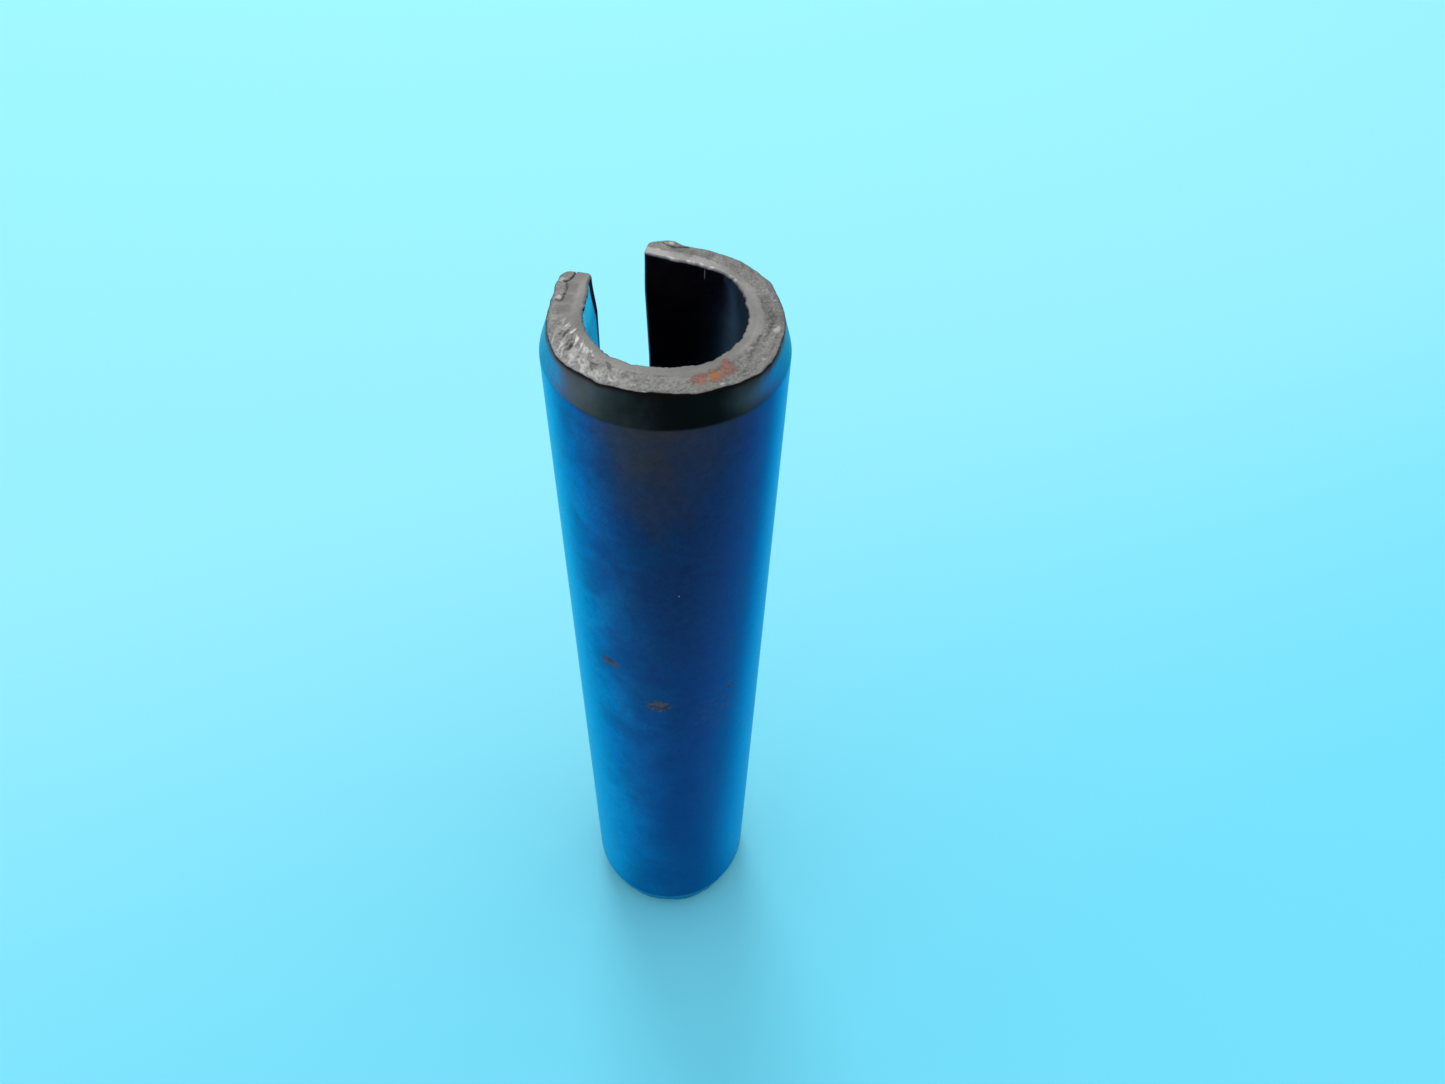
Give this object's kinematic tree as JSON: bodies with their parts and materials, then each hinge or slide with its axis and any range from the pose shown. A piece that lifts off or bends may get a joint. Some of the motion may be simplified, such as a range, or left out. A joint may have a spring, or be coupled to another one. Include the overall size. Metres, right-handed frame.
{
  "type": "slotted spring pin",
  "caption": "Slotted spring pin: a strip of dark spring steel rolled into an open C, with tapered ends, driven into a drilled hole to hold parts together.",
  "frame": {"origin": "on the bore's axis, at the lower end face", "axes": "+Z along the pin, +Y towards the slot, +X to the right of the slot seen from the back of the roll"},
  "size_m": [0.0084, 0.008, 0.04],
  "materials": {
    "blackened_steel": "hardened and blackened spring steel, satin, with bare sheared end faces and light rust specks"
  },
  "bodies": {
    "root": {"spring_pin": "blackened_steel"}
  },
  "joints": []
}
